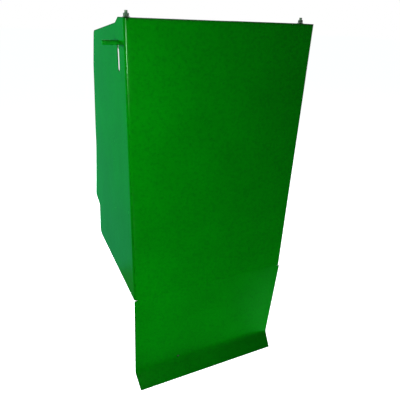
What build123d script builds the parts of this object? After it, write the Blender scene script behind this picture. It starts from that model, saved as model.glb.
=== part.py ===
# Discharge hood of a gravity grain wagon: one folded sheet-steel chute that hangs
# on a cross rod, with two hook bolts that draw the rod to the top of its slots.
#
# Frame: +X to the right seen from the front, +Y from the front sheet towards the
# wagon, +Z up. The origin is on the ground under the middle of the bounding box.
# A place on a side view is (back, height): back from the front face, height from
# the ground.
import os
from math import cos, radians, sin, tan

from build123d import *

# ---- driving dimensions, millimetres and degrees ---------------------------------
hood_width = 610.0  # outside, over both side walls
hood_height = 1331.0  # ground to the top of the shelf
sheet = 2.0  # 14 gauge steel
corner_radius = 10.0  # outside radius of the two vertical folds
top_radius = 6.0  # outside radius of the fold from the front to the shelf

tongue_lean = 4.1  # degrees that the tongue, below the side walls, leans back
tongue_bend_radius = 40.0
lip_radius = 24.0  # outside radius of the kick at the tongue's foot
lip_drop = 45.0  # degrees of the lip below level
lip_length = 68.0  # from the kick's corner to the lip's edge
lip_trim = 7.0  # cut off each end of the lip's edge
drain_hole_radius = 4.75
drain_hole_x = -124.0
drain_hole_height = 71.0

shelf_flat = 62.0  # front face to the shelf's rear fold
shelf_slope_run = 32.0
shelf_slope_drop = 15.0
shelf_fold_radius = 5.0
shelf_end_gap = 1.0  # between the shelf's ends and the side walls

side_bottom = 428.0  # ground to the side walls' bottom edge at the front
bend_relief = 2.0  # notch between a side wall's fold and the tongue's shoulder
slot_width = 19.0
slot_length = 82.0

rod_radius = 6.35
rod_overhang = 43.7  # cross rod beyond each side wall
rod_back = 73.0  # front face to the cross rod's axis
rod_drop = 65.0  # shelf top to the cross rod's axis
rod_chamfer = 1.0
slot_washer_radius = 17.45
slot_washer_bore = 7.15
slot_washer_thick = 2.8

bolt_radius = 4.76
bolt_inset = 20.0  # outside of a side wall to a hook bolt's shank
bolt_above_shelf = 17.0
bolt_tip_chamfer = 0.8
hook_inner_radius = 19.05
hook_return = 12.0  # straight end of the hook above its bend
shelf_washer_radius = 10.3
shelf_washer_thick = 1.65
shelf_hole_radius = 5.5
nut_across_flats = 14.3
nut_height = 8.3
nut_chamfer = 0.9
thread_clearance = 0.05

weld_leg = 5.0
weld_start = 14.0
weld_end = 58.0
seat_gap = 0.3  # between pieces that move on each other

# The side wall's outline as (back, height) with the radius of that corner, from the
# top of the front fold round the rear to the lowest corner.
wall_corners = [
    ((0.0, hood_height), top_radius),
    ((shelf_flat, hood_height), shelf_fold_radius),
    ((shelf_flat + shelf_slope_run, hood_height - shelf_slope_drop), 4.0),
    ((403.0, hood_height - 50.0), 22.0),
    ((449.0, hood_height - 165.0), 150.0),
    ((515.0, hood_height - 490.0), 300.0),
    ((608.0, side_bottom + 155.0), 4.0),
    ((536.0, side_bottom + 132.0), 6.0),
    ((568.0, side_bottom - 23.0), 22.0),
]

# ---- places that follow from them --------------------------------------------------
half_width = hood_width / 2
wall_inside = half_width - sheet
rod_height = hood_height - rod_drop
hook_radius = hook_inner_radius + bolt_radius
bolt_back = rod_back - hook_radius
bolt_side = half_width - bolt_inset
hook_height = rod_height - rod_radius + hook_inner_radius - seat_gap

# the kick's corner and the lip's edge, on the front face
lip_edge_height = sheet * cos(radians(lip_drop))
kick_height = lip_edge_height + lip_length * sin(radians(lip_drop))
kick_back = (side_bottom - kick_height) * tan(radians(tongue_lean))
lip_edge_back = kick_back - lip_length * cos(radians(lip_drop))
drain_hole_back = (side_bottom - drain_hole_height) * tan(radians(tongue_lean))

with BuildLine() as wall_outline:
    edge = FilletPolyline(
        (0, side_bottom),
        *[place for place, radius in wall_corners],
        (corner_radius + sheet, side_bottom),
        radius=[radius for place, radius in wall_corners],
    )
    Line(edge @ 1, edge @ 0)
rear_reach = wall_outline.line.bounding_box().max.X
front_y = -(rear_reach + lip_edge_back) / 2

side_view = Plane(origin=(0, front_y, 0), x_dir=(0, 1, 0), z_dir=(1, 0, 0))
front_view = Plane(origin=(0, front_y, 0), x_dir=(1, 0, 0), z_dir=(0, -1, 0))


def plan_view(height):
    """A level plane whose X axis runs along the front face at that height."""
    return Plane(origin=(0, front_y, height))


# ---- the folded shell ----------------------------------------------------------------
with BuildPart() as side_walls:
    wall_foot = wall_outline.line.bounding_box().min.Y
    with BuildSketch(plan_view(wall_foot)):
        with BuildLine():
            fold = CenterArc((half_width - corner_radius, corner_radius), corner_radius, -90, 90)
            Line(fold @ 1, (half_width, rear_reach + corner_radius))
            offset(amount=sheet, side=Side.LEFT)
        make_face()
    extrude(amount=hood_height - wall_foot)
    mirror(about=Plane.YZ)
    with BuildSketch(side_view):
        add(wall_outline.line)
        make_face()
    extrude(amount=hood_width, both=True, mode=Mode.INTERSECT)
    with BuildSketch(side_view):
        slot_middle = rod_height + rod_radius + seat_gap - slot_length / 2
        with Locations((rod_back, slot_middle)):
            SlotOverall(slot_length, slot_width, rotation=90)
    extrude(amount=hood_width, both=True, mode=Mode.SUBTRACT)

with BuildPart() as hood_shell:
    # lip, tongue, front and shelf are one strip, as wide as the hood
    with BuildSketch(side_view):
        with BuildLine():
            FilletPolyline(
                (lip_edge_back, lip_edge_height),
                (kick_back, kick_height),
                (0, side_bottom),
                (0, hood_height),
                (shelf_flat, hood_height),
                (shelf_flat + shelf_slope_run, hood_height - shelf_slope_drop),
                radius=[lip_radius, tongue_bend_radius, top_radius, shelf_fold_radius],
            )
            offset(amount=sheet, side=Side.RIGHT)
        make_face()
    extrude(amount=half_width, both=True)
    # above the tongue the strip stops at the vertical folds and short of the walls
    with BuildSketch(plan_view(side_bottom - bend_relief)):
        for side in (-1, 1):
            with Locations((side * half_width, 0)):
                Rectangle(2 * corner_radius, 2 * corner_radius)
            with Locations((side * half_width, rear_reach / 2)):
                Rectangle(2 * (sheet + shelf_end_gap), rear_reach)
    extrude(amount=hood_height, mode=Mode.SUBTRACT)
    # the lip's ends are cut at a slant
    with BuildSketch(front_view):
        for side in (-1, 1):
            with BuildLine():
                Polyline(
                    (side * half_width, kick_height),
                    (side * (half_width - lip_trim), 0),
                    (side * half_width, 0),
                    close=True,
                )
            make_face()
    extrude(amount=hood_width, both=True, mode=Mode.SUBTRACT)
    add(side_walls.part)
    with BuildSketch(plan_view(hood_height)):
        with Locations((-bolt_side, bolt_back), (bolt_side, bolt_back)):
            Circle(shelf_hole_radius)
    extrude(amount=-2 * sheet, mode=Mode.SUBTRACT)
    hole_view = Plane(
        origin=(drain_hole_x, front_y + drain_hole_back, drain_hole_height),
        x_dir=(1, 0, 0),
        z_dir=(0, -cos(radians(tongue_lean)), -sin(radians(tongue_lean))),
    )
    with BuildSketch(hole_view):
        Circle(drain_hole_radius)
    extrude(amount=2 * sheet, both=True, mode=Mode.SUBTRACT)
hood_shell.part.label = "hood_shell"


def shelf_weld(side):
    """The fillet bead under the shelf's end, against one side wall (side is -1 or 1)."""
    under_shelf = Plane(
        origin=(side * wall_inside, front_y + weld_start, hood_height - sheet),
        x_dir=(side, 0, 0),
        z_dir=(0, side, 0),
    )
    with BuildPart() as bead:
        with BuildSketch(under_shelf):
            with BuildLine():
                Polyline((0, 0), (-weld_leg, 0), (0, weld_leg), close=True)
            make_face()
        extrude(amount=side * (weld_end - weld_start))
    return bead.part


# ---- the hanger: cross rod, hook bolts, washers and nuts --------------------------------
with BuildPart() as cross_rod:
    with BuildSketch(Plane(origin=(0, front_y + rod_back, rod_height), z_dir=(1, 0, 0))):
        Circle(rod_radius)
    extrude(amount=half_width + rod_overhang, both=True)
    ends = cross_rod.edges().group_by(Axis.X)
    chamfer(ends[0] + ends[-1], rod_chamfer)
cross_rod.part.label = "cross_rod"


def hook_bolt(side):
    """A threaded hook bolt: its shank stands through the shelf, its hook holds the rod."""
    tip = hood_height + bolt_above_shelf
    bolt_view = Plane(
        origin=(side * bolt_side, front_y + bolt_back, 0), x_dir=(0, 1, 0), z_dir=(1, 0, 0)
    )
    with BuildPart() as bolt:
        with BuildLine(bolt_view):
            shank = Line((0, tip), (0, hook_height))
            bend = CenterArc((hook_radius, hook_height), hook_radius, 180, 180)
            Line(bend @ 1, bend @ 1 + Vector(0, 0, hook_return))
        with BuildSketch(Plane(origin=shank @ 0, z_dir=(0, 0, -1))):
            Circle(bolt_radius)
        sweep()
        chamfer(bolt.edges().group_by(Axis.Z)[-1], bolt_tip_chamfer)
    return bolt.part


def washer(plane, outside, bore, thick):
    """A flat round washer that starts on the plane and grows along its normal."""
    with BuildPart() as ring:
        with BuildSketch(plane):
            Circle(outside)
            Circle(bore, mode=Mode.SUBTRACT)
        extrude(amount=thick)
    return ring.part


def hanger_nut(side):
    """A hexagon nut on the hook bolt, seated on its washer, its corners chamfered."""
    seat = hood_height + shelf_washer_thick + seat_gap
    with BuildPart() as nut:
        with BuildSketch(Plane(origin=(side * bolt_side, front_y + bolt_back, seat))) as flats:
            RegularPolygon(nut_across_flats / 2, 6, major_radius=False)
        extrude(amount=nut_height)
        with BuildSketch(flats.workplanes[0]):
            Circle(nut_across_flats / 2 + nut_chamfer)
        extrude(amount=nut_height, mode=Mode.INTERSECT)
        with BuildSketch(flats.workplanes[0]):
            Circle(bolt_radius + thread_clearance)
        extrude(amount=nut_height, mode=Mode.SUBTRACT)
    return nut.part


os.makedirs("parts", exist_ok=True)
export_step(hood_shell.part, "parts/hood_shell.step")
export_step(cross_rod.part, "parts/cross_rod.step")
for name, side in (("left", -1), ("right", 1)):
    on_shelf = Plane(origin=(side * bolt_side, front_y + bolt_back, hood_height))
    by_wall = Plane(
        origin=(side * (wall_inside - seat_gap), front_y + rod_back, rod_height),
        z_dir=(-side, 0, 0),
    )
    pieces = {
        "shelf_weld": shelf_weld(side),
        "hook_bolt": hook_bolt(side),
        "slot_washer": washer(by_wall, slot_washer_radius, slot_washer_bore, slot_washer_thick),
        "shelf_washer": washer(on_shelf, shelf_washer_radius, shelf_hole_radius, shelf_washer_thick),
        "hanger_nut": hanger_nut(side),
    }
    for piece, part in pieces.items():
        part.label = f"{name}_{piece}"
        export_step(part, f"parts/{name}_{piece}.step")
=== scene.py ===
# %% [markdown]
# # Discharge hood of a gravity grain wagon
#
# The real object is one sheet of steel, 2 mm thick, folded into a tall chute and
# sprayed with gloss green enamel. A cross rod hangs it on the wagon, and two zinc
# plated hook bolts draw that rod up to the top of its slots.
#
# This lesson loads the measured model first and keeps its places. Each visible
# piece is then made again as a surface worked out with numpy, because a surface
# can carry what a measuring model leaves out: panels that are not quite flat, a
# thread, a weld's ripples. Everything is in metres, with +Z up and +X to the right
# seen from the front.

# %% Load the measured model
from math import cos, pi, radians, sin, tan

import bpy
import numpy as np
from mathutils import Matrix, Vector, geometry


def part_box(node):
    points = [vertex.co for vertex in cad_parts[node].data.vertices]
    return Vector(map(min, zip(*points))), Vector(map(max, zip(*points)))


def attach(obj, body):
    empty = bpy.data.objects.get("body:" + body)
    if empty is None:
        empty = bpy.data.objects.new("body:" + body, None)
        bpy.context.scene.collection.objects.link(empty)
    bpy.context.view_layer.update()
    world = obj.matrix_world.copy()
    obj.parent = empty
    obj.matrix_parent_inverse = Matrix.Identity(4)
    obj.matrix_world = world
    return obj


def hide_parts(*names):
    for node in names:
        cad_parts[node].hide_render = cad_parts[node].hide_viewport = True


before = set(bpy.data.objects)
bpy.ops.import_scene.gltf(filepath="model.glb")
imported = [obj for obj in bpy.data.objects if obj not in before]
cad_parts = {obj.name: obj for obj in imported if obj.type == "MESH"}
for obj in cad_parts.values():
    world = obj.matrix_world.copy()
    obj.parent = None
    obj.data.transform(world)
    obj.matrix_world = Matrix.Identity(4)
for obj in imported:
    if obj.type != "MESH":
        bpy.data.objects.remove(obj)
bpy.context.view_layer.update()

MM = 0.001
shell_low, shell_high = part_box("hood_shell")

# %% [markdown]
# ## One way to put a surface into a mesh
#
# Every turned or swept piece below is a grid of points: rows along the piece,
# columns round it. Its faces follow from the row and column numbers alone, so they
# are counted out as whole arrays. A rod's two ends are closed with a fan of triangles
# round a middle point, and a ring's ends are joined to each other, so no piece is
# left open. A closed surface that points inwards has a negative volume, and that is
# the test for turning its faces over.

# %% A closed surface from a grid of points
def put_mesh(name, points, faces, smooth_angle):
    """Put points (n, 3) in metres and faces into a new object at the origin."""
    mesh = bpy.data.meshes.new(name)
    mesh.from_pydata(points.tolist(), [], faces, shade_flat=False)
    mesh.validate()
    piece = bpy.data.objects.new(name, mesh)
    bpy.context.scene.collection.objects.link(piece)
    mesh.set_sharp_from_angle(angle=smooth_angle)
    return piece


def outwards(points, quads, triangles):
    """Turn the faces over if the volume they enclose comes out negative.

    The volume is a sixth of the sum of a . (b x c) over all triangles (a, b, c).
    """
    corners = np.vstack([quads[:, [0, 1, 2]], quads[:, [0, 2, 3]], triangles])
    a, b, c = (points[corners[:, k]] for k in range(3))
    volume = np.einsum("ij,ij->i", a, np.cross(b, c)).sum() / 6
    faces = quads.tolist() + triangles.tolist()
    return volume, [face[::-1] for face in faces] if volume < 0 else faces


def closed_surface(name, grid, smooth_angle, looped=False):
    """Close a grid (rows, columns, 3) whose columns join round.

    The rows join round too if it is looped, as in a ring; otherwise each end gets a fan.
    """
    rows, columns = grid.shape[:2]
    points = grid.reshape(-1, 3)
    r, c = np.meshgrid(np.arange(rows if looped else rows - 1), np.arange(columns), indexing="ij")
    here, above = r * columns, (r + 1) % rows * columns
    c_after = (c + 1) % columns
    quads = np.stack([here + c, here + c_after, above + c_after, above + c], -1).reshape(-1, 4)
    fans = np.zeros((0, 3), int)
    if not looped:
        points = np.vstack([points, grid[0].mean(0), grid[-1].mean(0)])
        ring = np.arange(columns)
        after, last = (ring + 1) % columns, (rows - 1) * columns
        fans = np.vstack([
            np.stack([np.full(columns, rows * columns), after, ring], -1),
            np.stack([np.full(columns, rows * columns + 1), last + ring, last + after], -1)])
    volume, faces = outwards(points, quads, fans)
    piece = put_mesh(name, points, faces, smooth_angle)
    print(name, "points", len(points), "volume %.2f ml" % (abs(volume) * 1e6))
    return piece


# %% [markdown]
# ## The blank
#
# A sheet metal shop cuts this hood flat and then folds it, and the same two steps
# give the best surface here. The flat blank lies in a plane of two numbers: s runs
# across it from the middle, v runs along it, and on the flat front sheet v is the
# height. A blank cut from a fine grid of points folds without a seam, and its own
# outline gives true cut edges.
#
# The sizes are the shop's: 2 mm sheet, about 14 gauge, 10 mm radius on the long
# folds, 6 mm on the fold to the shelf, and a lip kicked forward at the foot.

# %% The shop drawing, in millimetres
SHEET = 2.0
HALF = shell_high.x / MM
TOP = shell_high.z / MM
FOLD, TOP_FOLD = 10.0, 6.0
SIDE_BOTTOM, RELIEF = 428.0, 2.0
LEAN, LIP_DROP, LIP_LENGTH, LIP_TRIM = radians(4.1), radians(45), 68.0, 7.0
SHELF_FLAT, SHELF_RUN, SHELF_DROP = 62.0, 32.0, 15.0
ROD_BACK, ROD_DROP, ROD_RADIUS = 73.0, 65.0, 6.35
SLOT_WIDTH, SLOT_LENGTH, SEAT = 19.0, 82.0, 0.3
BOLT_RADIUS, BOLT_SIDE, HOOK_RADIUS = 4.76, HALF - 20.0, 19.05 + 4.76
BOLT_BACK = ROD_BACK - HOOK_RADIUS
BOLT_HOLE, ROD_WASHER_BORE = 5.5, 7.15  # radii
DRAIN_SIDE, DRAIN_HEIGHT, DRAIN_RADIUS = -124.0, 71.0, 4.75
WALL_REACH = 598  # blank width past the fold that the point grid has to cover

FLAT_HALF = HALF - FOLD  # the flat part of the front sheet ends here
WALL_START = FLAT_HALF + FOLD * pi / 2  # blank width to where a side wall is flat
lip_edge_height = SHEET * cos(LIP_DROP)
kick_height = lip_edge_height + LIP_LENGTH * sin(LIP_DROP)
kick_back = (SIDE_BOTTOM - kick_height) * tan(LEAN)
lip_edge_back = kick_back - LIP_LENGTH * cos(LIP_DROP)
FRONT = shell_low.y / MM - lip_edge_back  # where the front face stands in the frame
print("front face at y = %.2f mm, blank half width %.1f mm" % (FRONT, WALL_START + WALL_REACH))


# %% A line with rounded corners
def rounded(corners, arc_step=1.6):
    """Carry a line through corners (a, b, radius) and round each one.

    The arc touches both runs at radius / tan(half the inner angle) from the corner,
    and its centre is radius / sin(half the inner angle) away along the bisector.
    Its points are the slerp of the two radii.
    """
    corners = np.array(corners, float)
    line = [corners[:1, :2]]
    for before, corner, after in zip(corners, corners[1:], corners[2:]):
        u, w = before[:2] - corner[:2], after[:2] - corner[:2]
        u, w = u / np.hypot(*u), w / np.hypot(*w)
        half = np.arccos(np.clip(u @ w, -1, 1)) / 2
        radius, turn = corner[2], pi - 2 * half
        if radius * turn < 0.2:
            line.append(corner[None, :2])
            continue
        centre = corner[:2] + (u + w) / np.hypot(*(u + w)) * radius / sin(half)
        start, end = (corner[:2] + d * radius / tan(half) - centre for d in (u, w))
        k = np.linspace(0, 1, max(4, int(radius * turn / arc_step) + 2))[:, None]
        line.append(centre + (np.sin((1 - k) * turn) * start + np.sin(k * turn) * end) / sin(turn))
    return np.vstack(line + [corners[-1:, :2]])


def along(line):
    """Distance along a line at each of its points: the running sum of its steps."""
    return np.concatenate([[0], np.cumsum(np.hypot(*np.diff(line, axis=0).T))])


def refined(line, step):
    """Divide each run of a line into equal parts no longer than step."""
    parts = np.maximum(1, np.ceil(np.diff(along(line)) / step)).astype(int)
    k = np.concatenate([np.arange(n) / n for n in parts] + [[0]])
    first = np.repeat(np.arange(len(parts)), parts).tolist() + [len(parts)]
    second = np.minimum(np.array(first) + 1, len(parts))
    return line[first] + k[:, None] * (line[second] - line[first])


strip = rounded([
    (lip_edge_back, lip_edge_height, 0), (kick_back, kick_height, 24),
    (0, SIDE_BOTTOM, 40), (0, TOP, TOP_FOLD), (SHELF_FLAT, TOP, 5),
    (SHELF_FLAT + SHELF_RUN, TOP - SHELF_DROP, 0),
], arc_step=1.2)
strip = refined(strip, 11.0)
strip_v = along(strip)
strip_v += 900 - np.interp(900, strip[:, 1][: len(strip) - 20], strip_v[: len(strip) - 20])
print("side view of lip, tongue, front and shelf:", len(strip), "points")

# %% [markdown]
# ## Cutting the outline
#
# The outline is drawn for the right half and mirrored. Up the tongue it is straight.
# A small notch, the bend relief, keeps the fold from tearing the tongue's shoulder.
# Then comes the side wall's shape, which the side view gives as distance back and
# height, and last the shelf. A place back from the front face becomes a distance
# across the blank: round the fold it is the arc, and past it one to one.

# %% The outline of the right half
def across(back):
    """Blank distance s for a place on the side: arc length, then straight."""
    turn = np.arccos(np.clip(1 - back / FOLD, 0, 1))
    return FLAT_HALF + FOLD * turn + np.maximum(back - FOLD, 0)


wall = rounded([
    (0, SIDE_BOTTOM, 0), (FOLD + SHEET, SIDE_BOTTOM, 0), (568, SIDE_BOTTOM - 23, 22),
    (536, SIDE_BOTTOM + 132, 6), (608, SIDE_BOTTOM + 155, 4), (515, TOP - 490, 300),
    (449, TOP - 165, 150), (403, TOP - 50, 22), (SHELF_FLAT + SHELF_RUN, TOP - SHELF_DROP, 4),
    (SHELF_FLAT, TOP, 5), (0, TOP, TOP_FOLD), (0, TOP - 3 * TOP_FOLD, 0),
])[:-1]
wall = refined(wall, 6.0)
wall_edge = np.stack([across(wall[:, 0]), wall[:, 1]], -1)

low = strip[:, 1] < kick_height
low[len(strip) // 2:] = False
lip_side = np.stack([HALF - LIP_TRIM * (1 - strip[low, 1] / kick_height), strip_v[low]], -1)
shelf_step_v = np.interp(FOLD, strip[-20:, 0], strip_v[-20:])
right = np.vstack([
    lip_side, [(HALF, strip_v[low][-1] + 3), (HALF, SIDE_BOTTOM - RELIEF)],
    [(FLAT_HALF, SIDE_BOTTOM - RELIEF)], wall_edge,
    [(FLAT_HALF, shelf_step_v), (HALF - SHEET - 1, shelf_step_v), (HALF - SHEET - 1, strip_v[-1])],
])
outline = np.vstack([right, right[::-1] * [-1, 1]])
outline = refined(np.vstack([outline, outline[:1]]), 8.0)[:-1]
print("outline of the blank:", len(outline), "points")


# %% Slots and holes
def ring_of(centre, radius, straight=0.0, count=40):
    """A slot or hole: a circle whose upper and lower halves are moved apart."""
    turn = np.arange(count) / count * 2 * pi
    up = np.where(np.sin(turn) >= 0, straight / 2, -straight / 2)
    return centre + np.stack([radius * np.cos(turn), radius * np.sin(turn) + up], -1)


slot_middle = TOP - ROD_DROP + ROD_RADIUS + SEAT - SLOT_LENGTH / 2
slot_s = WALL_START + ROD_BACK - FOLD
bolt_v = np.interp(BOLT_BACK, strip[-20:, 0], strip_v[-20:])
drain_v = np.interp(DRAIN_HEIGHT, strip[: len(strip) // 2, 1], strip_v[: len(strip) // 2])
holes = [ring_of((DRAIN_SIDE, drain_v), DRAIN_RADIUS, count=32)]
for side in (-1, 1):
    slot = ring_of((side * slot_s, slot_middle), SLOT_WIDTH / 2, SLOT_LENGTH - SLOT_WIDTH, 44)
    holes += [slot, ring_of((side * BOLT_SIDE, bolt_v), BOLT_HOLE, count=32)]
holes = [refined(np.vstack([hole, hole[:1]]), 5.0)[:-1] for hole in holes]
print("holes:", [len(hole) for hole in holes])

# %% [markdown]
# ## Filling the blank with points
#
# Inside the outline go the points of a plain grid. Its columns and rows are close
# together only where the sheet is folded, so the folds come out round and the flats
# stay light. Points too near an edge would make slivers, and are left out. A
# Delaunay triangulation joins the rest, and triangles whose middle is outside the
# outline or in a hole are thrown away.

# %% Distances and inside tests on whole arrays
loops = [outline] + holes
starts = np.vstack(loops)
ends = np.vstack([np.roll(loop, -1, axis=0) for loop in loops])


def edge_distance(places):
    """Shortest distance from each place to any cut edge, in chunks of 2000."""
    run = ends - starts
    square = (run ** 2).sum(-1)
    found = []
    for part in np.array_split(places, len(places) // 2000 + 1):
        to = part[:, None] - starts
        k = np.clip((to * run).sum(-1) / square, 0, 1)
        found.append(np.hypot(*np.moveaxis(to - k[..., None] * run, -1, 0)).min(1))
    return np.concatenate(found)


def inside(places):
    """Odd number of edges crossed by a line going right means inside the sheet."""
    found = []
    for part in np.array_split(places, len(places) // 2000 + 1):
        a, b, v = starts, ends, part[:, None, 1]
        spans = (a[:, 1] > v) != (b[:, 1] > v)
        rise = np.where(b[:, 1] == a[:, 1], 1, b[:, 1] - a[:, 1])
        cross = a[:, 0] + (v - a[:, 1]) / rise * (b[:, 0] - a[:, 0])
        found.append((spans & (cross > part[:, None, 0])).sum(1) % 2 == 1)
    return np.concatenate(found)


# %% Triangulate the blank
half_columns = np.concatenate([
    np.linspace(0, FLAT_HALF, 27), FLAT_HALF + FOLD * np.linspace(0, pi / 2, 9)[1:-1],
    WALL_START + np.linspace(0, WALL_REACH, 52),
])
columns = np.concatenate([-half_columns[:0:-1], half_columns])
rows = np.unique(np.round(np.concatenate([strip_v, [SIDE_BOTTOM - 16, SIDE_BOTTOM - 8]]), 4))
rows = rows[np.concatenate([[True], np.diff(rows) > 0.5])]
near = [np.minimum(np.gradient(line)[None, :] if k else np.gradient(line)[:, None], 12.0)
        for k, line in enumerate((rows, columns))]
clear_by = 0.45 * np.minimum(near[0], near[1])
s_grid, v_grid = np.meshgrid(columns, rows)
grid_places = np.stack([s_grid, v_grid], -1).reshape(-1, 2)
keep = inside(grid_places) & (edge_distance(grid_places) > np.maximum(clear_by.ravel(), 0.6))
places = np.vstack(loops + [grid_places[keep]])
first = np.cumsum([0] + [len(loop) for loop in loops])
loop_edges = [
    (int(a + k), int(a + (k + 1) % (b - a))) for a, b in zip(first, first[1:]) for k in range(b - a)
]
flat, _, triangles, *_ = geometry.delaunay_2d_cdt(
    [Vector(place) for place in places], loop_edges, [], 0, 1e-6, False)
flat, triangles = np.array(flat), np.array(triangles)
triangles = triangles[inside(flat[triangles].mean(1))]
print("blank:", len(flat), "points,", len(triangles), "triangles")

# %% [markdown]
# ## Folding it
#
# Folding is one rule for the side walls and one for the strip. A wall point turns
# round the vertical fold: x = flat + r sin(angle), y = r (1 - cos(angle)), and its
# height stays v. A strip point keeps x = s, and its back and height are read off the
# side view at the distance v.
#
# No sheet this large is flat. It bulges a few tenths of a millimetre between its
# folds, which is too little to see as a shape and enough to bend a reflection, so a
# slow wave is added where nothing seats on the sheet.

# %% Fold the blank
tangent = np.gradient(strip, strip_v, axis=0)
tangent /= np.hypot(*tangent.T)[:, None]
strip_out = np.stack([-tangent[:, 1], tangent[:, 0]], -1)  # (back, height) of its normal


def folded(s, v):
    """Give the outer face's points and outward normals, in mm, for blank places s, v."""
    on_strip = ((v < SIDE_BOTTOM - RELIEF / 2) & (abs(s) < HALF + 1)) | (
        (v > TOP + 1.5) & (abs(s) < HALF - SHEET))
    on_wall = (abs(s) > FLAT_HALF) & ~on_strip
    turn = np.clip((abs(s) - FLAT_HALF) / FOLD, 0, pi / 2)
    side = np.sign(s)
    wall_back = FOLD * (1 - np.cos(turn)) + np.maximum(abs(s) - WALL_START, 0)
    on_wall_place = [side * (FLAT_HALF + FOLD * np.sin(turn)), wall_back, v]
    on_wall_out = [side * np.sin(turn), -np.cos(turn), 0 * s]
    strip_place = [s] + [np.interp(v, strip_v, strip[:, k]) for k in (0, 1)]
    strip_normal = [0 * s] + [np.interp(v, strip_v, strip_out[:, k]) for k in (0, 1)]
    place = np.where(on_wall[:, None], np.stack(on_wall_place, -1), np.stack(strip_place, -1))
    out = np.where(on_wall[:, None], np.stack(on_wall_out, -1), np.stack(strip_normal, -1))
    return place, out, on_wall


def gentle(value, start, end):
    """A smooth step from 0 at start to 1 at end: 3k^2 - 2k^3."""
    k = np.clip((value - start) / (end - start), 0, 1)
    return k * k * (3 - 2 * k)


place, out, on_wall = folded(*flat.T)
x, back, height = place.T
calm = gentle(TOP - height, 130, 320) * gentle(height, SIDE_BOTTOM - 10, SIDE_BOTTOM + 90)
front_wave = 0.45 * np.sin(x / 118 + 0.6) * np.sin(height / 171 + 0.4) + 0.25 * np.sin(
    x / 61 + height / 93)
wall_wave = 0.5 * np.sin(back / 103 + height / 260) + 0.3 * np.sin(height / 87 - back / 190) - 0.5
on_front = gentle(FLAT_HALF - abs(x), 6, 60) * ~on_wall
on_side = gentle(back - FOLD, 6, 70) * on_wall
bulge = calm * (on_front * front_wave + on_side * 0.7 * wall_wave)
outer = place + bulge[:, None] * out
inner = outer - SHEET * out
print("bulge of the panels, mm: %.2f to %.2f" % (bulge.min(), bulge.max()))

# %% [markdown]
# The sheet's inner face is the outer one moved in by the sheet's thickness along the
# normal of the fold. Where an edge belongs to one triangle only, the sheet was cut,
# and a narrow face joins the two sides there. A bevel of 0.45 mm breaks those cut
# edges, as a deburring wheel does.

# %% Thickness and cut edges
points = (np.vstack([outer, inner]) + (0, FRONT, 0)) * MM
count = len(outer)
directed = np.vstack([triangles[:, [0, 1]], triangles[:, [1, 2]], triangles[:, [2, 0]]])
key, reverse = directed @ [count, 1], directed[:, ::-1] @ [count, 1]
cut = directed[~np.isin(key, reverse)]
rim = np.stack([cut[:, 1], cut[:, 0], cut[:, 0] + count, cut[:, 1] + count], -1)
faces = triangles.tolist() + (triangles[:, ::-1] + count).tolist() + rim.tolist()
hood = put_mesh("folded_hood", points, faces, radians(60))
away = hood.data.attributes.new("edge_mm", "FLOAT", "POINT")
away.data.foreach_set("value", np.tile(edge_distance(flat), 2).astype(np.float32))
broken_edge = hood.modifiers.new("deburred edge", "BEVEL")
broken_edge.width, broken_edge.segments = 0.45 * MM, 2
broken_edge.limit_method, broken_edge.angle_limit = "ANGLE", radians(55)
broken_edge.harden_normals = True
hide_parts("hood_shell")
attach(hood, "hood")
print("folded_hood", len(hood.data.vertices), "points,", len(cut), "cut edges")

# %% [markdown]
# ## The welds under the shelf
#
# The shelf is folded from the front sheet, so only its two ends need joining to the
# side walls. A welder lays a short fillet bead there. A bead is a row of overlapping
# puddles, each frozen as a shallow crescent. Its surface is a radius round the inner
# corner: leg x (0.8 + 0.12 sin 2a), and each puddle lowers it by a few hundredths
# along its own length.

# %% Fillet beads with puddle ripples
def weld_bead(name, side):
    """Radius round the corner over angle a and length t, drawn in at both ends."""
    low_corner, high_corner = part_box(name)
    leg = (high_corner.x - low_corner.x)
    t = np.linspace(0, 1, 150)[:, None]
    a = np.linspace(0, pi / 2, 18)[None, :]
    puddle = ((t * 44 + 1.3 * np.sin(2 * a)) / 3.1) % 1
    ends_in = np.sqrt(np.clip(np.minimum(t, 1 - t) / 0.06, 0, 1))
    wander = 0.03 * np.sin(t * 23) + 0.02 * np.sin(t * 51 + 2)
    radius = leg * (0.8 + 0.12 * np.sin(2 * a) - 0.07 * puddle ** 2 + wander) * (0.25 + 0.75 * ends_in)
    corner_x = high_corner.x if side > 0 else low_corner.x
    y = low_corner.y + (high_corner.y - low_corner.y) * (0.01 + 0.98 * t)
    bead = np.stack([
        corner_x - side * radius * np.cos(a), np.broadcast_to(y, radius.shape),
        high_corner.z - radius * np.sin(a),
    ], -1)
    root = np.stack([np.full(len(t), corner_x), y[:, 0], np.full(len(t), high_corner.z)], -1)
    piece = closed_surface(name.replace("shelf_weld", "fillet_bead"), np.concatenate(
        [bead, root[:, None]], 1), radians(70))
    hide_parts(name)
    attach(piece, "hood")
    return piece


beads = [weld_bead("left_shelf_weld", -1), weld_bead("right_shelf_weld", 1)]

# %% [markdown]
# ## Turned and swept pieces
#
# The rod, the bolts, the nuts and the washers are all a ring of points carried along
# a line. For the rod and the washers the ring is a circle whose radius follows a
# profile. For a thread the radius also depends on the angle: one turn of the angle
# must move the groove on by one pitch, so the groove is read at
# distance / pitch - angle / full turn.

# %% Rings carried along a line
def carried(centres, sideways, radius, turns):
    """Points centre + r (cos a * sideways + sin a * (tangent x sideways)).

    radius is (rows, 1) or (rows, turns), sideways is one vector square to the line.
    """
    tangent = np.gradient(centres, axis=0)
    tangent /= np.linalg.norm(tangent, axis=1, keepdims=True)
    other = np.cross(tangent, sideways)
    a = np.arange(turns) / turns * 2 * pi
    direction = (np.cos(a)[None, :, None] * np.array(sideways)[None, None, :]
                 + np.sin(a)[None, :, None] * other[:, None, :])
    return centres[:, None, :] + radius[..., None] * direction


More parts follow.
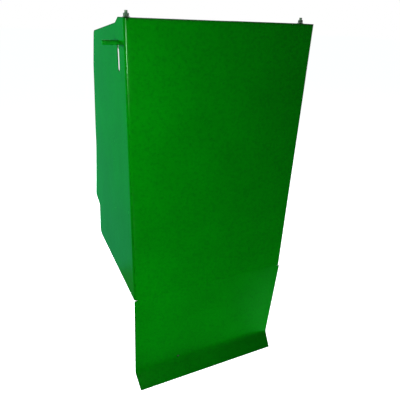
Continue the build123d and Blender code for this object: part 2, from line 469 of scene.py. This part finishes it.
def turned(name, middle, axis, profile, turns=64, smooth_angle=radians(40), looped=False):
    """Revolve a profile of (distance along axis, radius) in metres about a line."""
    profile = np.array(profile, float)
    axis = np.array(axis, float)
    sideways = np.cross(axis, (0, 0, 1) if abs(axis[2]) < 0.5 else (1, 0, 0))
    a = np.arange(turns) / turns * 2 * pi
    direction = (np.cos(a)[:, None] * sideways + np.sin(a)[:, None] * np.cross(axis, sideways))
    grid = (np.array(middle)[None, None, :] + profile[:, 0, None, None] * axis
            + profile[:, 1, None, None] * direction[None])
    return closed_surface(name, grid, smooth_angle, looped)


# %% The cross rod
rod_low, rod_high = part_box("cross_rod")
rod_middle = (rod_low + rod_high) / 2
reach, bar = rod_high.x, ROD_RADIUS * MM
run = np.linspace(-reach + 0.0016, reach - 0.0016, 160)
drawn = bar - 0.00006 * (1 + np.sin(run * 41) * np.sin(run * 17 + 1)) / 2
end = [(reach - 0.0012, bar - 0.0002), (reach - 0.0008, bar - 0.0005), (reach - 0.0002, bar - 0.001),
       (reach, bar - 0.0014)]
rod_profile = [(-p, r) for p, r in reversed(end)] + list(zip(run, drawn)) + end
rod = turned("hanging_rod", rod_middle, (1, 0, 0), rod_profile)
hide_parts("cross_rod")
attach(rod, "rod")


# %% Washers, stamped from strip
def washer(name, node, body, axis, bore):
    """A stamped ring: its rim is rounded on the punch side and square on the other."""
    low_corner, high_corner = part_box(node)
    size = high_corner - low_corner
    thick, outer = abs(size.dot(Vector(axis))), max(size) / 2
    soft = thick * 0.22
    a = np.linspace(0, pi / 2, 6)
    rim = np.stack([thick / 2 - soft * (1 - np.sin(a)), outer - soft * (1 - np.cos(a))], -1)
    profile = [(-thick / 2, bore), (-thick / 2, outer - 0.0001), (-thick / 2 + 0.0001, outer),
               *rim, (thick / 2, bore + 0.0001), (thick / 2 - 0.0001, bore)]
    piece = turned(name, (low_corner + high_corner) / 2, axis, profile, 72, radians(35), looped=True)
    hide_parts(node)
    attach(piece, body)
    return piece


washers = []
for word, inward in (("left", 1), ("right", -1)):
    washers.append(washer(
        f"{word}_rod_washer", f"{word}_slot_washer", "rod", (inward, 0, 0), ROD_WASHER_BORE * MM))
    washers.append(washer(
        f"{word}_bolt_washer", f"{word}_shelf_washer", "hood", (0, 0, 1), BOLT_HOLE * MM))

# %% [markdown]
# ## The hook bolts
#
# A hook bolt is cold bent from a threaded rod, so its thread runs down from the tip
# and stops before the bend. The thread here is 3/8 inch with 16 turns to the inch:
# a pitch of 1.5875 mm and a depth of about 0.9 mm. The groove is a triangle wave
# with its crest cut flat. It fades over 2.2 mm at the tip and 3.5 mm at its end.

# %% Thread and hook
PITCH, THREAD_DEPTH, THREADED, CHAMFER, AROUND = 25.4 / 16, 0.85, 46, 0.8, 36


def thread_groove(distance, angle):
    """Depth from 0 to 1: a triangle wave of distance / pitch - angle / turn, clipped."""
    phase = (distance / PITCH - angle / (2 * pi)) % 1
    return np.clip(1.25 * (1 - abs(2 * phase - 1)) - 0.12, 0, 1)


def hook_bolt(word, side):
    """Carry the thread's ring down the shank, round the hook and up its short end."""
    low_corner, high_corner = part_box(f"{word}_hook_bolt")
    tip, foot = high_corner.z / MM, low_corner.z / MM
    hook_height = foot + BOLT_RADIUS + HOOK_RADIUS
    y = low_corner.y / MM + BOLT_RADIUS
    threaded = np.arange(0, THREADED, PITCH / 9)
    plain = np.linspace(THREADED, tip - hook_height, 12)
    bend = np.linspace(0, pi, 40)[1:]
    line = np.vstack([
        np.stack([np.full(len(threaded), y), tip - threaded], -1),
        np.stack([np.full(len(plain), y), tip - plain], -1),
        np.stack([y + HOOK_RADIUS * (1 - np.cos(bend)), hook_height - HOOK_RADIUS * np.sin(bend)], -1),
        np.stack([np.full(8, y + 2 * HOOK_RADIUS), hook_height + np.linspace(1.5, 12, 8)], -1),
    ])
    distance = along(line)[:, None]
    a = (np.arange(AROUND) / AROUND * 2 * pi)[None, :]
    fade = gentle(distance, 0, 2.2) * gentle(THREADED - distance, 0, 3.5)
    radius = BOLT_RADIUS - THREAD_DEPTH * thread_groove(distance, a) * fade
    total = distance[-1]
    for end_distance in (distance, total - distance):  # a chamfer at each end
        radius = np.minimum(radius, BOLT_RADIUS - CHAMFER + end_distance)
    centres = np.column_stack([np.full(len(line), side * BOLT_SIDE), line]) * MM
    piece = closed_surface(f"{word}_hook", carried(centres, (1, 0, 0), radius * MM, AROUND), radians(45))
    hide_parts(f"{word}_hook_bolt")
    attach(piece, "hook_bolts")
    return piece


hooks = [hook_bolt("left", -1), hook_bolt("right", 1)]

# %% [markdown]
# ## The nuts
#
# A hexagon nut is a six-sided bar turned down at its corners, so its outside is the
# smaller of two radii: the hexagon's, half the flats / cos(angle from the nearest
# flat), and a cone that comes in towards both faces. That smaller-of-two gives the
# curved line that every real nut has under its chamfer.

# %% Hexagon nuts
def hanger_nut(word, side):
    """Rows go up the outside, over the top face, and down the threaded bore."""
    low_corner, high_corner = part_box(f"{word}_hanger_nut")
    bottom, top = low_corner.z / MM, high_corner.z / MM
    flats = min(high_corner.x - low_corner.x, high_corner.y - low_corner.y) / MM / 2
    a = np.arange(144) / 144 * 2 * pi
    wide_x = high_corner.x - low_corner.x > high_corner.y - low_corner.y
    from_flat = (a + (0 if wide_x else pi / 6)) % (pi / 3) - pi / 6
    hexagon = (flats / np.cos(from_flat))[None, :]
    rise = (0.5 - 0.5 * np.cos(np.linspace(0, pi, 26)))[:, None]
    inward = np.minimum(rise, 1 - rise) * (top - bottom)
    outside = np.minimum(hexagon, flats - 0.25 + inward * 1.9)
    z = bottom + rise * (top - bottom)
    bore_rows = np.linspace(0, 1, 60)[:, None]
    bore = BOLT_RADIUS + 0.05 + 0.12 * (1 - thread_groove(bore_rows * (top - bottom), a[None, :]))
    bore = bore + 0.9 * np.clip(1 - np.minimum(bore_rows, 1 - bore_rows) / 0.07, 0, 1)
    radius = np.vstack([outside, bore])
    heights = np.vstack([z + 0 * a, (top - bore_rows * (top - bottom)) + 0 * a])
    centre_y = (low_corner.y + high_corner.y) / 2
    points = np.stack([
        side * BOLT_SIDE * MM + radius * MM * np.cos(a),
        centre_y + radius * MM * np.sin(a), heights * MM,
    ], -1)
    piece = closed_surface(f"{word}_hex_nut", points, radians(28), looped=True)
    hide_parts(f"{word}_hanger_nut")
    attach(piece, f"{word}_nut")
    print(piece.name, "flats %.2f mm" % (2 * flats))
    return piece


nuts = [hanger_nut("left", -1), hanger_nut("right", 1)]

# %% [markdown]
# ## Finishes
#
# Colours are written as the hex values that a paint maker would give for a screen,
# and one function turns them to linear light. One function adds a node: its settings,
# its input values and the links that feed it.

# %% Colour and node helpers
def linear(code):
    """sRGB hex to linear: c / 12.92 below 0.04045, else ((c + 0.055) / 1.055) ^ 2.4."""
    c = np.array([int(code[k:k + 2], 16) for k in (1, 3, 5)]) / 255
    return (*np.where(c < 0.04045, c / 12.92, ((c + 0.055) / 1.055) ** 2.4), 1.0)


def node(tree, kind, values=None, links=None, **settings):
    """Add one node, set its properties and socket values, and link its inputs."""
    made = tree.nodes.new(kind)
    for key, value in settings.items():
        setattr(made, key, value)
    for socket, value in (values or {}).items():
        made.inputs[socket].default_value = value
    for socket, output in (links or {}).items():
        tree.links.new(output, made.inputs[socket])
    return made


def new_finish(name):
    """A material with an empty tree, and its object coordinates in metres."""
    material = bpy.data.materials.new(name)
    material.use_nodes = True
    material.node_tree.nodes.clear()
    place = node(material.node_tree, "ShaderNodeTexCoord").outputs["Object"]
    return material, material.node_tree, place


# %% [markdown]
# ## Gloss green enamel on steel
#
# Alkyd enamel sprayed on sheet steel. It dries with orange peel, a grain of low
# bumps 2 to 4 mm across and a few hundredths of a millimetre high, which softens
# every reflection. Within 5 mm of a cut edge the colour is darkened as painted shade,
# and the film carries faint cloudy patches where the spray passes overlap, about
# 150 mm apart. The sheen is low seen square on and strong at a shallow angle, so its
# specular level is low. The colour has almost no red or blue in it.

# %% Mixing two colours
def blend_colours(tree, factor, first, second):
    """Mix two colours by a factor output. Each is a hex code or another output."""
    mixed = node(tree, "ShaderNodeMix", data_type="RGBA")
    wanted = [socket for socket in mixed.inputs if socket.type == "RGBA"]
    tree.links.new(factor, mixed.inputs[0])
    for socket, colour in zip(wanted, (first, second)):
        if isinstance(colour, str):
            socket.default_value = linear(colour)
        else:
            tree.links.new(colour, socket)
    return [socket for socket in mixed.outputs if socket.type == "RGBA"][0]


# %% Green enamel
def enamel(name, deep, bright, thin_coat_and_edge_shade, level, rough, peel_mm=3.2, cut_edges=False):
    """Sprayed enamel: cloudy colour, orange peel, and painted shade along cut edges."""
    material, tree, place = new_finish(name)
    passes = node(tree, "ShaderNodeTexNoise", {"Scale": 1000 / 150, "Detail": 3.0, "Roughness": 0.55},
                  {"Vector": place})
    clouds = node(tree, "ShaderNodeMapRange", {"From Min": 0.3, "From Max": 0.7},
                  {"Value": passes.outputs["Fac"]})
    colour = blend_colours(tree, clouds.outputs["Result"], deep, bright)
    # 8 mm flecks where the wet coat ran thick or thin
    flecks = node(tree, "ShaderNodeTexNoise", {"Scale": 1000 / 8, "Detail": 2.0, "Roughness": 0.6},
                  {"Vector": place})
    thick = node(tree, "ShaderNodeMapRange", {"From Min": 0.42, "From Max": 0.75, "To Max": 0.5},
                 {"Value": flecks.outputs["Fac"]})
    colour = blend_colours(tree, thick.outputs["Result"], colour, thin_coat_and_edge_shade)
    # scuffed streaks run up and down, 70 mm long and 6 mm wide: real ones are too fine to show
    lengthwise = node(tree, "ShaderNodeMapping", {"Scale": (1000 / 6, 1000 / 6, 1000 / 70)},
                      {"Vector": place})
    scuffs = node(tree, "ShaderNodeTexNoise", {"Scale": 1.0, "Detail": 4.0, "Roughness": 0.7},
                  {"Vector": lengthwise.outputs["Vector"]})
    worn = node(tree, "ShaderNodeMapRange", {"From Min": 0.62, "From Max": 0.8, "To Max": 0.35},
                {"Value": scuffs.outputs["Fac"]})
    colour = blend_colours(tree, worn.outputs["Result"], colour, thin_coat_and_edge_shade)
    # painted shade: the colour darkens within 5 mm of a cut edge
    if cut_edges:
        away_from_edge = node(tree, "ShaderNodeAttribute", attribute_name="edge_mm")
        near_edge = node(tree, "ShaderNodeMapRange",
                         {"From Min": 0.2, "From Max": 5.0, "To Min": 0.85, "To Max": 0.0},
                         {"Value": away_from_edge.outputs["Fac"]}, interpolation_type="SMOOTHSTEP")
        colour = blend_colours(tree, near_edge.outputs["Result"], colour, thin_coat_and_edge_shade)
    shine = node(tree, "ShaderNodeMapRange",
                 {"From Min": 0.3, "From Max": 0.75, "To Min": rough - 0.05, "To Max": rough + 0.08},
                 {"Value": scuffs.outputs["Fac"]})
    peel = node(tree, "ShaderNodeTexNoise", {"Scale": 1000 / peel_mm, "Detail": 1.5, "Roughness": 0.4},
                {"Vector": place})
    slow = node(tree, "ShaderNodeTexNoise", {"Scale": 1000 / 45, "Detail": 1.0}, {"Vector": place})
    bumps = node(tree, "ShaderNodeBump", {"Strength": 0.35, "Distance": 0.00012},
                 {"Height": peel.outputs["Fac"]})
    bumps = node(tree, "ShaderNodeBump", {"Strength": 0.4, "Distance": 0.0006},
                 {"Height": slow.outputs["Fac"], "Normal": bumps.outputs["Normal"]})
    paint = node(tree, "ShaderNodeBsdfPrincipled", {"Specular IOR Level": level}, {
        "Base Color": colour, "Roughness": shine.outputs["Result"], "Normal": bumps.outputs["Normal"]})
    node(tree, "ShaderNodeOutputMaterial", None, {"Surface": paint.outputs["BSDF"]})
    print(name, "nodes", len(tree.nodes))
    return material


hood_enamel = enamel("gloss_green_enamel", "#007203", "#007a04", "#005608", 0.22, 0.2, cut_edges=True)
bead_enamel = enamel("enamel_over_weld", "#00800a", "#018c0c", "#006a0a", 0.15, 0.34, peel_mm=1.2)
bar_enamel = enamel("enamel_on_bar", "#027a10", "#048416", "#025c12", 0.2, 0.26, peel_mm=1.6)

# %% [markdown]
# ## Bright zinc plate
#
# The bolts, nuts and washers are electroplated with a few thousandths of a
# millimetre of zinc and passivated. Zinc crystals leave a fine satin grain, and the
# passivation tints it faintly from blue to straw in patches 5 to 10 mm across. It
# collects grime in spots 2 to 3 mm across. It is a metal, so it keeps the default
# IOR, but it is drawn only 0.4 metallic: a fully metallic plate shows nothing but
# the dim room, and a dull, dusty one shows its own grey as well.

# %% Zinc plate
def zinc(name, cool, straw, grime, rough, grain_mm):
    """Plated steel: tinted patches, satin grain and a little grime."""
    material, tree, place = new_finish(name)
    patches = node(tree, "ShaderNodeTexNoise", {"Scale": 1000 / 8, "Detail": 2.0}, {"Vector": place})
    tint = node(tree, "ShaderNodeMapRange", {"From Min": 0.35, "From Max": 0.65},
                {"Value": patches.outputs["Fac"]})
    colour = blend_colours(tree, tint.outputs["Result"], cool, straw)
    spots = node(tree, "ShaderNodeTexNoise", {"Scale": 1000 / 2.5, "Detail": 4.0, "Roughness": 0.7},
                 {"Vector": place})
    dirt = node(tree, "ShaderNodeMapRange", {"From Min": 0.5, "From Max": 0.75, "To Max": 0.7},
                {"Value": spots.outputs["Fac"]})
    colour = blend_colours(tree, dirt.outputs["Result"], colour, grime)
    satin = node(tree, "ShaderNodeMapRange",
                 {"From Min": 0.3, "From Max": 0.7, "To Min": rough - 0.08, "To Max": rough + 0.1},
                 {"Value": spots.outputs["Fac"]})
    grain = node(tree, "ShaderNodeTexNoise", {"Scale": 1000 / grain_mm, "Detail": 2.0}, {"Vector": place})
    bumps = node(tree, "ShaderNodeBump", {"Strength": 0.3, "Distance": 0.00005},
                 {"Height": grain.outputs["Fac"]})
    plate = node(tree, "ShaderNodeBsdfPrincipled", {"Metallic": 0.4}, {
        "Base Color": colour, "Roughness": satin.outputs["Result"], "Normal": bumps.outputs["Normal"]})
    node(tree, "ShaderNodeOutputMaterial", None, {"Surface": plate.outputs["BSDF"]})
    print(name, "nodes", len(tree.nodes))
    return material


bolt_zinc = zinc("zinc_plated_bolt", "#a3aea7", "#aeae98", "#4a544b", 0.45, 0.5)
nut_zinc = zinc("zinc_plated_nut", "#9ba7a1", "#a8a791", "#465047", 0.42, 0.6)
washer_zinc = zinc("zinc_plated_washer", "#a8b1ab", "#b1b09a", "#505a51", 0.45, 0.5)

# %% Put each finish on its pieces
for finish, wearers in ((hood_enamel, [hood]), (bead_enamel, beads), (bar_enamel, [rod]),
                        (bolt_zinc, hooks), (nut_zinc, nuts), (washer_zinc, washers)):
    for piece in wearers:
        piece.data.materials.clear()
        piece.data.materials.append(finish)
    print(finish.name, "on", [piece.name for piece in wearers])

# %% [markdown]
# ## Floor and light
#
# The floor is a plain sheet of pale paper that glows a little. It is left out of the
# gloss, the bounced light and the shadows, so the paint keeps its colour near the
# ground. The room is dim and slightly blue, which is what the side walls mirror at a
# shallow angle, and the camera sees white behind the hood.

# %% Floor, room and lamps
floor_mesh = bpy.data.meshes.new("paper_floor")
floor_mesh.from_pydata([(-30, -30, 0), (30, -30, 0), (30, 30, 0), (-30, 30, 0)], [], [(0, 1, 2, 3)])
floor = bpy.data.objects.new("paper_floor", floor_mesh)
floor.location.z = -0.001
bpy.context.scene.collection.objects.link(floor)
floor.visible_glossy = floor.visible_diffuse = floor.visible_shadow = False
paper, paper_tree, paper_place = new_finish("white_paper")
fibre = node(paper_tree, "ShaderNodeTexNoise", {"Scale": 40.0, "Detail": 2.0}, {"Vector": paper_place})
paper_colour = blend_colours(paper_tree, fibre.outputs["Fac"], "#fcfdfc", "#ffffff")
# painted shadow: the paper's glow and colour drop under the kick, where the hood stands on it and no
# light gets in
painted_shadow_distance = node(paper_tree, "ShaderNodeVectorMath", {1: (0.0, -0.215, 0.0)}, {0: paper_place},
                 operation="SUBTRACT")
painted_shadow_distance = node(paper_tree, "ShaderNodeVectorMath", {1: (1 / 0.3, 1 / 0.05, 0.0)},
                 {0: painted_shadow_distance.outputs["Vector"]}, operation="MULTIPLY")
painted_shadow_distance = node(paper_tree, "ShaderNodeVectorMath", None, {0: painted_shadow_distance.outputs["Vector"]},
                 operation="LENGTH")
glow_with_painted_shadow = node(paper_tree, "ShaderNodeMapRange",
            {"From Min": 0.4, "From Max": 1.0, "To Min": 0.02, "To Max": 0.97},
            {"Value": painted_shadow_distance.outputs["Value"]}, interpolation_type="SMOOTHSTEP")
sheet_shader = node(paper_tree, "ShaderNodeBsdfPrincipled", {
    "Roughness": 0.9, "Specular IOR Level": 0.0}, {
    "Base Color": glow_with_painted_shadow.outputs["Result"], "Emission Strength": glow_with_painted_shadow.outputs["Result"],
    "Emission Color": paper_colour})
node(paper_tree, "ShaderNodeOutputMaterial", None, {"Surface": sheet_shader.outputs["BSDF"]})
floor_mesh.materials.append(paper)

room = bpy.data.worlds.new("room")
bpy.context.scene.world = room
room.use_nodes = True
sky = room.node_tree
sky.nodes.clear()
seen = node(sky, "ShaderNodeLightPath")
dim = node(sky, "ShaderNodeBackground", {"Color": (0.6, 0.9, 1.0, 1), "Strength": 0.05})
white = node(sky, "ShaderNodeBackground", {"Color": (1, 1, 1, 1), "Strength": 1.0})
either = node(sky, "ShaderNodeMixShader", None, {0: seen.outputs["Is Camera Ray"],
              1: dim.outputs["Background"], 2: white.outputs["Background"]})
node(sky, "ShaderNodeOutputWorld", None, {"Surface": either.outputs["Shader"]})


def lamp(name, place, aim, size, power, colour=(1, 1, 1), mirrored=True):
    """A square soft box at place, turned to face aim; sizes in metres, power in watts."""
    data = bpy.data.lights.new(name, "AREA")
    data.size, data.energy, data.color = size, power, colour
    light = bpy.data.objects.new(name, data)
    light.location = place
    light.rotation_euler = (Vector(aim) - Vector(place)).to_track_quat("-Z", "Y").to_euler()
    light.visible_glossy = mirrored
    bpy.context.scene.collection.objects.link(light)


lamp("overhead", (0.2, -0.3, 4.2), (0, 0, 0), 4.0, 9)
lamp("front_middle", (-0.42, -0.97, 0.35), (-0.3, -0.3, 0.4), 0.3, 3.0, mirrored=False)
lamp("front_near", (-0.42, -0.7, 1.15), (-0.35, -0.3, 1.15), 0.25, 0.9, mirrored=False)
lamp("front_top", (0.0, -0.7, 1.6), (0.0, -0.3, 1.3), 0.25, 0.3, mirrored=False)
lamp("front_right", (1.0, -0.77, -0.65), (0.1, -0.3, 0.4), 0.5, 27, (0.3, 1.0, 0.6), mirrored=False)
lamp("fold_glint", (-1.05, -0.95, 1.17), (-0.3, -0.29, 1.25), 0.2, 8.0, (0.5, 1.0, 0.65))
lamp("left_side", (-1.7, 2.3, 1.33), (-0.3, 0.0, 1.0), 0.35, 190, (0.85, 1.0, 1.0), mirrored=False)
lamp("back_left", (-1.7, 3.2, 0.4), (-0.5, 0.0, 0.9), 4.5, 10, (0.08, 0.85, 1.0))
lamp("right_side", (2.4, 0.3, 1.6), (0.3, 0, 0.9), 1.6, 14)
lamp("back_fill", (0.6, 2.8, 1.6), (0, 0, 0.8), 2.0, 12, (0.95, 0.98, 1.0))
print("lamps", [light.name for light in bpy.data.lights])

# %% [markdown]
# ## Camera
#
# The camera stands a little higher than the hood and to its left, about 1.2 m away,
# with a slightly wide lens, so the hood's foot looks smaller than its top.

# %% Camera
camera_data = bpy.data.cameras.new("camera")
camera_data.lens, camera_data.sensor_width = 35.62, 36.0
camera = bpy.data.objects.new("camera", camera_data)
camera.location = (-0.5897, FRONT * MM - 1.0828, TOP * MM + 0.0144)
camera.rotation_euler = (radians(64.855), radians(-2.255), radians(-24.661))
bpy.context.scene.collection.objects.link(camera)
bpy.context.scene.camera = camera
bpy.context.scene.view_settings.view_transform = "Standard"
